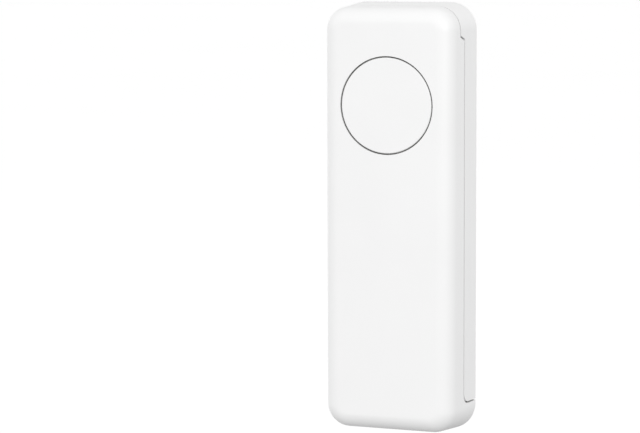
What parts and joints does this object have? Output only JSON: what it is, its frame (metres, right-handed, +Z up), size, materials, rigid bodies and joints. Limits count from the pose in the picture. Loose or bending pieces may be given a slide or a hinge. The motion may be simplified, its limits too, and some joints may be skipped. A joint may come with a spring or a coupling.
{
  "type": "door contact sensor",
  "caption": "Slim battery-powered wireless door contact sensor: front housing with a flush round push button slides off an adhesive rear cover.",
  "frame": {"origin": "centre of the adhesive pad's outer face, at the middle of the case's height and width", "axes": "+Z up along the case, +Y out of the adhesive face into the door, -Y out of the front with the button, +X to the right seen from the front"},
  "size_m": [0.0316, 0.0147, 0.094],
  "materials": {
    "case": "satin moulded white",
    "button": "satin moulded white",
    "frame": "moulded off-white",
    "pad": "foam tape",
    "board": "solder resist",
    "black_plastic": "moulded black",
    "steel": "nickel-plated",
    "cell_can": "nickel-plated",
    "tin": "tin-plated",
    "spring": "nickel-plated wire",
    "copper": "gold-flashed copper",
    "glass": "clear",
    "lens": "clear epoxy",
    "ceramic": "fired ceramic",
    "tantalum": "moulded yellow",
    "jacket": "plain printed film"
  },
  "bodies": {
    "back": {"rear_cover": "case", "adhesive_pad": "pad"},
    "housing": {"front_shell": "case", "inner_frame": "frame", "frame_screws": "steel", "circuit_board": "board", "switch_body": "black_plastic", "switch_plate": "steel", "switch_dome": "steel", "switch_terminals": "tin", "radio_board": "board", "radio_shield": "tin", "radio_chip": "black_plastic", "antenna_trace": "copper", "reed_glass": "glass", "reed_blade_upper": "steel", "reed_blade_lower": "steel", "status_led": "frame", "led_lens": "lens", "capacitors": "ceramic", "resistors": "black_plastic", "chip_ends": "tin", "bulk_capacitor": "tantalum", "crystal": "tin", "regulator": "black_plastic", "battery_left_can": "cell_can", "battery_left_jacket": "jacket", "battery_right_can": "cell_can", "battery_right_jacket": "jacket", "positive_contact": "tin", "negative_contact": "tin", "negative_spring": "spring", "bridge_contact": "tin", "bridge_spring": "spring"},
    "button": {"button_cap": "button"},
    "plunger": {"switch_plunger": "black_plastic"}
  },
  "joints": [
    {"name": "housing_slide", "type": "slide", "parent": "back", "child": "housing", "axis": [0, 0, -1], "range_m": [0, 0.09]},
    {"name": "button_press", "type": "slide", "parent": "housing", "child": "button", "axis": [0, 1, 0], "range_m": [0, 0.0004], "stiffness_N_per_m": 4000, "springref_m": -0.0002},
    {"name": "plunger_press", "type": "slide", "parent": "housing", "child": "plunger", "axis": [0, 1, 0], "range_m": [0, 0.0004]}
  ],
  "couplings": [
    {"joint": "plunger_press", "follows": "button_press", "ratio": 1}
  ]
}
